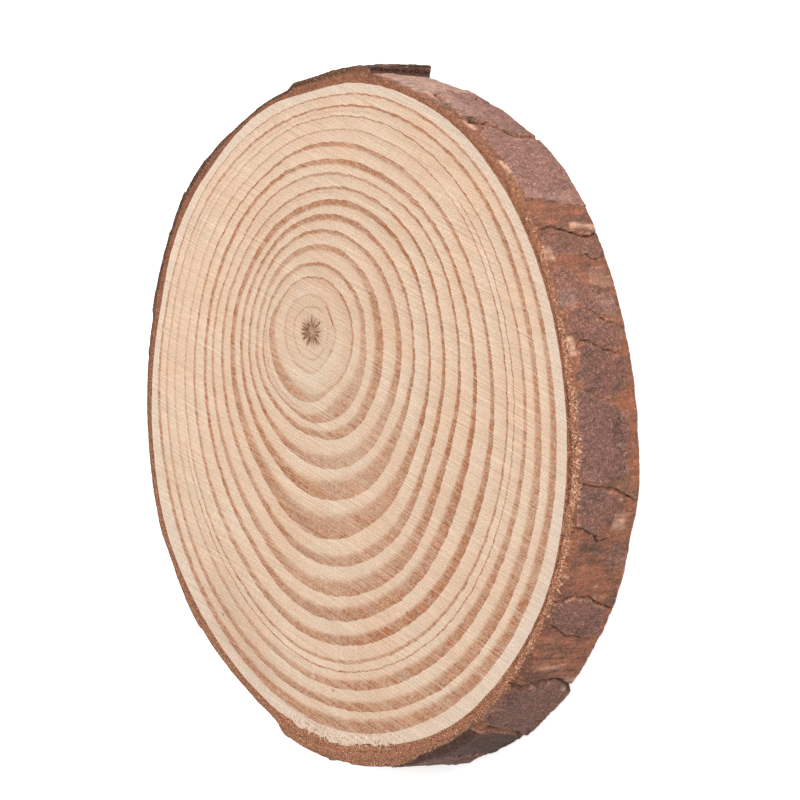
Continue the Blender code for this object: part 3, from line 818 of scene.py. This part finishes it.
def node(tree, kind, inputs=(), out=0, **settings):
    """Adds a node with its settings, sets or links its inputs, and gives one of its outputs."""
    made = tree.nodes.new("ShaderNode" + kind)
    for key, value in settings.items():
        setattr(made, key, value)
    for key, value in inputs.items() if isinstance(inputs, dict) else enumerate(inputs):
        if isinstance(value, bpy.types.NodeSocket):
            tree.links.new(value, made.inputs[key])
        else:
            made.inputs[key].default_value = value
    return made.outputs[out]


def new_material(name, roughness):
    material = bpy.data.materials.new(name)
    material.use_nodes = True
    shader = material.node_tree.nodes["Principled BSDF"]
    shader.inputs["Roughness"].default_value = roughness
    shader.inputs["IOR"].default_value = 1.5
    shader.inputs["Specular IOR Level"].default_value = OPEN_GRAIN_GLOSS
    return material, material.node_tree, shader


def grain(tree, size, detail=2.0, turn=0.0, stretch=(1.0, 1.0, 1.0)):
    """Noise in the slice's own millimetres: size of its lumps, turned about Z and drawn out."""
    place = node(tree, "TexCoord", out="Object")
    turned = node(tree, "Mapping", {"Vector": place, "Rotation": (0.0, 0.0, math.radians(turn))})
    scale = tuple(1.0 / (MM * size * k) for k in stretch)
    drawn = node(tree, "Mapping", {"Vector": turned, "Scale": scale})
    return node(tree, "TexNoise", {"Vector": drawn, "Scale": 1.0, "Detail": detail, "Roughness": 0.6})


def from_pith(tree):
    """Direction from the pith, and distance from it in millimetres."""
    parts = [node(tree, "Attribute", out="Fac", attribute_name=name) for name in ("pith_x", "pith_y")]
    way = node(tree, "CombineXYZ", parts)
    heading = node(tree, "VectorMath", (way,), operation="NORMALIZE")
    return heading, node(tree, "VectorMath", (way,), out="Value", operation="LENGTH")


def polar_grain(tree, heading, distance, turns, size):
    """Noise that follows the directions and distances from the pith."""
    wide = node(tree, "VectorMath", {0: heading, "Scale": turns}, operation="SCALE")
    deep = node(tree, "CombineXYZ", {"Z": node(tree, "Math", (distance, size), operation="DIVIDE")})
    place = node(tree, "VectorMath", (wide, deep), operation="ADD")
    return node(tree, "TexNoise", {"Vector": place, "Scale": 1.0, "Detail": 2.0, "Roughness": 0.6})


def shaded(tree, colour, patterns):
    """A colour made lighter and darker by patterns, each with its amount."""
    for pattern, amount in patterns:
        part = node(tree, "Math", (pattern, amount, 1.0 - 0.5 * amount), operation="MULTIPLY_ADD")
        colour = node(tree, "VectorMath", {0: colour, "Scale": part}, operation="SCALE")
    return colour


def share_of(tree, *steps):
    """How much of a coat shows: patterns, each led through its own range, times each other."""
    parts = [node(tree, "MapRange", (pattern, *levels)) if levels else pattern
             for pattern, *levels in steps]
    total = parts[0]
    for part in parts[1:]:
        total = node(tree, "Math", (total, part), operation="MULTIPLY")
    return total


def painted(tree, colour, *coats):
    """A colour with coats over it, each a colour and the steps that say how much of it shows."""
    for coat, *steps in coats:
        share = share_of(tree, *steps)
        colour = node(tree, "Mix", {0: share, 6: colour, 7: coat}, out=2, data_type="RGBA")
    return colour


def roughened(tree, shader, height, patterns, strength, depth):
    """Gives the shader a bump of patterns added up, each with its amount."""
    for pattern, amount in patterns:
        height = node(tree, "Math", (pattern, amount, height), operation="MULTIPLY_ADD")
    bump = node(tree, "Bump", {"Height": height, "Strength": strength, "Distance": depth * MM})
    tree.links.new(bump, shader.inputs["Normal"])


def calmed(tree, pattern, amount):
    """A pattern of 0 to 1 kept nearer to its middle: amount 0 is even, 1 is as it was."""
    part = node(tree, "Math", (pattern, 0.5), operation="SUBTRACT")
    return node(tree, "Math", (part, amount, 0.5), operation="MULTIPLY_ADD")


def ring_darkness(tree, age, saw, broad_saw):
    """Age into each ring, 0 to 1, and how dark the late wood is: 0 in early wood."""
    late, strength, line_at, line_strength, width = (
        node(tree, "Attribute", out="Fac", attribute_name=name)
        for name in ("late", "dark", "line_place", "line", "width"))

    # Years from the pith, a little uneven, and how far each place is into its own year
    wobble = node(tree, "Math", (grain(tree, 1.6, 4.0), 0.62, -0.31), operation="MULTIPLY_ADD")
    wobble = node(tree, "Math", (saw, 0.05, wobble), operation="MULTIPLY_ADD")
    moved = node(tree, "Math", (wobble, width), operation="DIVIDE")
    year = node(tree, "Math", (node(tree, "Math", (age, moved), operation="ADD"),), operation="FRACT")

    # Late wood begins softly and ends sharply, and is darkest where it ends
    left = node(tree, "Math", (1.0, year), operation="SUBTRACT")
    left = node(tree, "Math", (left, late), operation="DIVIDE")
    soft = node(tree, "MapRange", (left, 1.0, 0.56), interpolation_type="SMOOTHSTEP")
    band = share_of(tree, (soft,), (left, 0.7, 0.1, 0.86, 1.0))
    slow = share_of(tree, (year, 0.35, 1.0), (age, 5.0, 9.0, 0.32, 0.10))
    past = node(tree, "Math", (year, width), operation="MULTIPLY")
    after = node(tree, "MapRange", (past, 0.0, 0.09, 1.0, 0.0))
    for part in (slow, after):
        band = node(tree, "Math", (band, part), operation="MAXIMUM")
    ring = share_of(tree, (band,), (strength,))

    gap = node(tree, "Math", (year, line_at), operation="SUBTRACT")
    gap = node(tree, "Math", (share_of(tree, (gap,), (width,)),), operation="ABSOLUTE")
    line = share_of(tree, (gap, 0.04, 0.17, 1.0, 0.0), (line_strength,))
    ring = node(tree, "Math", (ring, line), operation="MAXIMUM")
    ring = share_of(tree, (ring,), (grain(tree, 0.3), 0.3, 0.7, 0.66, 1.34),
                    (grain(tree, 1.2), 0.3, 0.7, 0.80, 1.20), (broad_saw, 0.3, 0.7, 0.70, 1.26))
    return year, node(tree, "Math", (ring, 1.0), operation="MULTIPLY", use_clamp=True)


def end_grain(settings):
    """Pine end grain, cut with a circular saw: dull and open, so the eye sees rings crossed by
    straight saw lines and by fine rays."""
    material, tree, shader = new_material("sawn_pine_end_grain", 0.62)
    age, pale, torn = (
        node(tree, "Attribute", out="Fac", attribute_name=name) for name in ("age", "pale", "torn"))

    # Teeth of the saw leave lines 0.3 mm apart; those of the render are as close as it can show
    saw = node(tree, "MapRange", (grain(tree, 0.15, 0.0, 14.5, (60.0, 1.0, 5.0)), 0.26, 0.74))
    broad_saw = grain(tree, 0.6, 3.0, 15.0, (40.0, 1.0, 2.0))
    zones = node(tree, "MapRange", (grain(tree, 7.0), 0.35, 0.65, 0.2, 0.8))
    pores = node(tree, "MapRange", (grain(tree, 0.13, 0.0), 0.3, 0.7))
    blotch = grain(tree, 10.0, 3.0)
    year, ring = ring_darkness(tree, age, saw, broad_saw)
    hatch = calmed(tree, saw, node(tree, "Math", (ring, 1.0, zones), operation="MULTIPLY_ADD"))
    heading, distance = from_pith(tree)
    rays = polar_grain(tree, heading, distance, 90.0, 5.0)

    face = painted(
        tree, settings.early, (settings.middle, (blotch, 0.35, 0.65)),
        (settings.middle, (year, 0.0, 0.6, 0.0, 0.5)), (settings.late, (ring,)),
        (settings.youngest, (age, 14.8, 15.4, 0.0, 0.34)))
    # Painted light: the pale field makes the face brighter towards its edge
    painted_light = node(tree, "Math", (pale, 1.0), operation="ADD")
    face = node(tree, "VectorMath", {0: face, "Scale": painted_light}, operation="SCALE")
    face = shaded(tree, face, (
        (rays, 0.22), (hatch, 0.29), (broad_saw, 0.22), (pores, 0.34), (blotch, 0.10)))

    # Pale scratches cross the rings a little off the saw lines
    for turn, amount in ((14.0, 0.30), (19.0, 0.20)):
        lines = grain(tree, 0.14, 0.0, turn, (90.0, 1.0, 4.0))
        face = painted(tree, face, (settings.scratch, (lines, 0.68, 0.80, 0.0, amount)))

    # The pith is a brown star with a soft edge: its points are of uneven length
    turned = node(tree, "VectorMath", {0: heading, "Scale": 4.8}, operation="SCALE")
    points = node(tree, "TexNoise", {"Vector": turned, "Scale": 1.0, "Detail": 1.0, "Roughness": 0.6})
    reach = node(tree, "MapRange", (points, 0.38, 0.60, 1.0, 2.45))
    inside = node(tree, "Math", (reach, distance), operation="SUBTRACT")
    star = share_of(tree, (inside, -0.15, 0.4, 0.0, 0.96), (distance, 0.2, 0.9, 0.65, 1.0),
                    (grain(tree, 0.35), 0.42, 0.6, 1.0, 0.65))
    halo = node(tree, "MapRange", (distance, 2.8, 0.9, 0.0, 0.45))
    star = node(tree, "Math", (star, halo), operation="MAXIMUM")

    # Pits lie between the torn fibres at one edge
    face = painted(tree, face, (settings.late, (grain(tree, 0.45), 0.52, 0.62, 0.0, 0.7), (torn,)),
                   (settings.pith, (star,)))

    # Damp left a faint stain, and resin a few dark dots
    place = node(tree, "TexCoord", out="Object")
    for x, y, size, amount, soft in FACE_MARKS:
        away = node(tree, "VectorMath", (place, (x * MM, y * MM, THICKNESS * MM)), out="Value",
                    operation="DISTANCE")
        reach = size * MM
        ragged = node(tree, "Math", (grain(tree, 0.5 * size, 3.0), reach, away), operation="MULTIPLY_ADD")
        levels = (reach * (1.5 - soft), reach * (1.5 + soft), amount, 0.0)
        face = painted(tree, face, (settings.pith, (ragged, *levels)))
    tree.links.new(face, shader.inputs["Base Color"])
    roughened(tree, shader, saw, ((ring, 0.3), (pores, 0.5), (rays, 0.4)), 0.5, 0.08)
    return material


def cut_bark(tree, settings, fine, layers):
    """Colour of sawn inner bark: granular and streaked, with a dark red line a little way out from
    the wood, a crust of old bark at the outer edge, and torn crumbs and dark pits."""
    across, light, torn, crust, gritty = (
        node(tree, "Attribute", out="Fac", attribute_name=name)
        for name in ("across", "light", "torn", "crust", "grit"))
    streaks = node(tree, "MapRange", (polar_grain(tree, *from_pith(tree), 40.0, 0.6), 0.3, 0.7))
    crumbs = node(tree, "MapRange", (grain(tree, 0.32), 0.32, 0.68))
    grit = node(tree, "MapRange", (grain(tree, 0.16, 1.0), 0.32, 0.68))
    outer = node(tree, "MapRange", (across, 0.56, 0.74))
    line = node(tree, "MapRange", (across, 0.23, 0.61, -1.0, 1.0))
    line = node(tree, "Math", (line, line), operation="MULTIPLY")
    line = node(tree, "Math", (1.0, line), operation="SUBTRACT", use_clamp=True)
    colour = painted(
        tree, settings.old_bast, (settings.bast, (light,)),
        (settings.seam, (line,), (torn, 0.0, 0.45, 0.15, 0.95)),
        (settings.dark, (outer,), (layers, 0.2, 0.8, 0.6, 1.0), (crust,)),
        (settings.tan, (crumbs, 0.4, 0.75), (torn, 0.12, 0.6, 0.05, 0.75), (outer,)),
        (settings.dark, (grit, 0.42, 0.1, 0.0, 0.55), (gritty,)),
        (settings.tan, (grit, 0.64, 0.95, 0.0, 0.55), (gritty,)))
    return shaded(tree, colour, ((streaks, 0.22), (layers, 0.3), (crumbs, 0.5), (grit, 0.3), (fine, 0.25)))


def pine_bark(settings):
    """Pine bark: sawn inner bark, brown scales and grey weathered plates, all dull and dry, so the
    eye sees soft patches of colour with fine pale specks and thin dark cracks."""
    material, tree, shader = new_material("weathered_pine_bark", 0.78)
    skin, crack, tone_and_painted_light, bare_and_highlight, grey = (
        node(tree, "Attribute", out="Fac", attribute_name=name)
        for name in ("skin", "crack", "tone_and_painted_light", "bare_and_highlight", "grey"))
    fine = node(tree, "MapRange", (grain(tree, 0.5, 3.0), 0.32, 0.68))
    speck = node(tree, "MapRange", (grain(tree, 0.2, 1.0), 0.3, 0.7))
    lumps = node(tree, "MapRange", (grain(tree, 2.0, 4.0), 0.35, 0.65))
    streak = node(tree, "MapRange", (grain(tree, 0.5, 3.0, 0.0, (1.0, 1.0, 6.0)), 0.35, 0.65))
    layers = node(tree, "MapRange", (polar_grain(tree, *from_pith(tree), 9.0, 0.28), 0.35, 0.65))
    wrinkles = dry_wrinkles(tree)

    bark = painted(tree, settings.brown, (settings.red, (lumps,)))
    # The dark patches paint shade as well as dark old bark
    patches = (("red", streak, 0.5, 0.9), ("grey", lumps, 0.8, 1.0), ("pale", streak, 0.6, 1.0),
               ("dark_bark_and_shade", layers, 0.55, 1.0), ("tan", streak, 0.6, 1.0))
    for name, pattern, least, most in patches:
        here = node(tree, "Attribute", out="Fac", attribute_name=name)
        bark = painted(tree, bark, (getattr(settings, name), (here,), (pattern, 0.0, 1.0, least, most)))
        # Painted light: the scales' lightness makes the upper ones lighter and those towards -90 degrees
        # darker
        if name == "grey":
            bark = node(tree, "VectorMath", {0: bark, "Scale": tone_and_painted_light}, operation="SCALE")
    # Pale flecks follow the scales' painted light; scale rims and crack lips get a painted highlight in torn
    # bark colour, partly exposed bark
    bark = painted(tree, bark, (settings.pale, (speck, 0.7, 0.95, 0.0, 0.35), (tone_and_painted_light,)),
                   (settings.tan, (bare_and_highlight,), (fine, 0.2, 0.7, 0.05, 0.5)))
    speckled = node(tree, "MapRange", (grey, 0.1, 0.7, 0.45, 1.0))
    streaked = node(tree, "MapRange", (grey, 0.1, 0.7, 1.0, 0.35))
    bark = shaded(tree, bark, (
        (calmed(tree, fine, speckled), 0.44), (calmed(tree, speck, speckled), 0.44),
        (calmed(tree, streak, streaked), 0.42), (lumps, 0.18), (calmed(tree, wrinkles, speckled), 0.26)))

    # Painted shade darkens the cracks
    colour = painted(tree, cut_bark(tree, settings, fine, layers), (bark, (skin,)), (settings.dark, (crack,)))
    tree.links.new(colour, shader.inputs["Base Color"])
    roughened(tree, shader, fine, ((speck, 0.3), (wrinkles, 0.6)), 0.7, 0.12)
    return material


def dry_wrinkles(tree):
    """Fine net of wrinkles in the skin of the plates, about 0.8 mm wide: 0 in them, 1 between them."""
    place = node(tree, "TexCoord", out="Object")
    bend = node(tree, "TexNoise", {"Vector": place, "Scale": 700.0, "Detail": 2.0}, out=1)
    bent = node(tree, "VectorMath", {0: bend, "Scale": 1.2 * MM}, operation="SCALE")
    place = node(tree, "VectorMath", (place, bent), operation="ADD")
    edges = node(tree, "TexVoronoi", {"Vector": place, "Scale": 1100.0}, feature="DISTANCE_TO_EDGE")
    return node(tree, "MapRange", (edges, 0.0, 0.14))


def torn_fibres(name, first, second):
    """Torn fibres: dry, matt and straw-coloured, so the eye sees a ragged pale fringe."""
    material, tree, shader = new_material(name, 0.8)
    colour = painted(tree, first, (second, (grain(tree, 0.5), 0.48, 0.62)))
    tree.links.new(colour, shader.inputs["Base Color"])
    return material


def light_table(settings):
    """Opal acrylic of a light table: matt white, and lit a little from below, so shadows stay pale."""
    material, _, shader = new_material("opal_acrylic", 0.7)
    shader.inputs["Base Color"].default_value = linear("#FAFAFA")
    shader.inputs["Emission Color"].default_value = linear("#FFFFFF")
    shader.inputs["Emission Strength"].default_value = settings.glow
    return material


# Operators

class SLICE_OT_wood(bpy.types.Operator):
    """Build the sawn wood with its growth rings"""
    bl_idname = "slice.wood"
    bl_label = "Sawn Wood"

    def execute(self, context):
        settings = context.scene.slice_wood
        on_slice(wood_mesh(settings), end_grain(settings))
        return {"FINISHED"}


class SLICE_OT_bark(bpy.types.Operator):
    """Build the bark with its plates, cracks and sawn inner bark"""
    bl_idname = "slice.bark"
    bl_label = "Bark"

    def execute(self, context):
        settings = context.scene.slice_bark
        on_slice(bark_mesh(settings), pine_bark(settings))
        return {"FINISHED"}


class SLICE_OT_fibres(bpy.types.Operator):
    """Build the torn fibres along the sawn edges of the bark and of the wood"""
    bl_idname = "slice.fibres"
    bl_label = "Torn Fibres"

    def execute(self, context):
        settings = context.scene.slice_bark
        bast = fibres_mesh("torn_bark", BARK_FIBRES, frayed_edge, fray_at, settings)
        on_slice(bast, torn_fibres("torn_inner_bark", settings.bast, settings.tan))
        wood = fibres_mesh("torn_wood", WOOD_FIBRES, functools.partial(around, WOOD), torn_at, settings)
        colours = context.scene.slice_wood
        on_slice(wood, torn_fibres("torn_sapwood", colours.early, colours.scratch))
        return {"FINISHED"}


class SLICE_OT_stage(bpy.types.Operator):
    """Build the floor, lights, room and camera"""
    bl_idname = "slice.stage"
    bl_label = "Stage"

    def execute(self, context):
        settings = context.scene.slice_stage
        build_floor(settings)
        build_lights(context.scene, settings)
        build_camera(context.scene)
        return {"FINISHED"}


def build_floor(settings):
    bm = bmesh.new()
    bmesh.ops.create_grid(bm, x_segments=1, y_segments=1, size=0.5 * settings.floor_size,
                          matrix=Matrix.Translation((0.0, 0.0, -FLOOR_GAP * MM)))
    floor = finished("floor", bm)
    floor.data.materials.append(light_table(settings))


def build_lights(scene, settings):
    world = bpy.data.worlds.new("white room")
    world.use_nodes = True
    background = world.node_tree.nodes["Background"]
    background.inputs["Color"].default_value = linear("#FFFFFF")
    background.inputs["Strength"].default_value = settings.world
    scene.world = world
    lamp = bpy.data.lights.new("key light", "AREA")
    lamp.shape = "DISK"
    lamp.size = KEY_WIDTH
    lamp.energy = settings.key_power
    key = bpy.data.objects.new("key light", lamp)
    way = Vector(KEY_WAY).normalized()
    turn = way.to_track_quat("Z", "Y").to_matrix().to_4x4()
    key.matrix_world = Matrix.Translation(KEY_DISTANCE * way) @ turn
    scene.collection.objects.link(key)
    scene.view_settings.view_transform = "Standard"


def build_camera(scene):
    lens = bpy.data.cameras.new("camera")
    lens.lens = LENS
    lens.sensor_width = SENSOR
    lens.shift_x, lens.shift_y = SHIFT
    camera = bpy.data.objects.new("camera", lens)
    back = Vector(CAMERA_BACK).normalized()
    right = Vector(CAMERA_UP).cross(back).normalized()
    up = back.cross(right)
    place = MM * (Vector(CAMERA_AIM) + CAMERA_DISTANCE * back)
    turn = Matrix((right, up, back)).transposed().to_4x4()
    camera.matrix_world = Matrix.Translation(place) @ turn
    scene.collection.objects.link(camera)
    scene.camera = camera


class SLICE_PT_panel(bpy.types.Panel):
    """The slice's pieces and their settings"""
    bl_label = "Pine Slice"
    bl_idname = "SLICE_PT_panel"
    bl_space_type = "VIEW_3D"
    bl_region_type = "UI"
    bl_category = "Pine Slice"

    def draw(self, context):
        groups = (
            (context.scene.slice_wood, (SLICE_OT_wood,)),
            (context.scene.slice_bark, (SLICE_OT_bark, SLICE_OT_fibres)),
            (context.scene.slice_stage, (SLICE_OT_stage,)),
        )
        for settings, operators in groups:
            box = self.layout.box()
            for name in settings.__annotations__:
                box.prop(settings, name)
            for operator in operators:
                box.operator(operator.bl_idname)


CLASSES = (WoodSettings, BarkSettings, StageSettings, SLICE_OT_wood, SLICE_OT_bark, SLICE_OT_fibres,
           SLICE_OT_stage, SLICE_PT_panel)


def register():
    for cls in CLASSES:
        bpy.utils.register_class(cls)
    bpy.types.Scene.slice_wood = bpy.props.PointerProperty(type=WoodSettings)
    bpy.types.Scene.slice_bark = bpy.props.PointerProperty(type=BarkSettings)
    bpy.types.Scene.slice_stage = bpy.props.PointerProperty(type=StageSettings)


def unregister():
    del bpy.types.Scene.slice_stage
    del bpy.types.Scene.slice_bark
    del bpy.types.Scene.slice_wood
    for cls in reversed(CLASSES):
        bpy.utils.unregister_class(cls)


def main():
    register()
    bpy.ops.slice.stage()
    bpy.ops.slice.wood()
    bpy.ops.slice.bark()
    bpy.ops.slice.fibres()


if __name__ == "__main__":
    main()
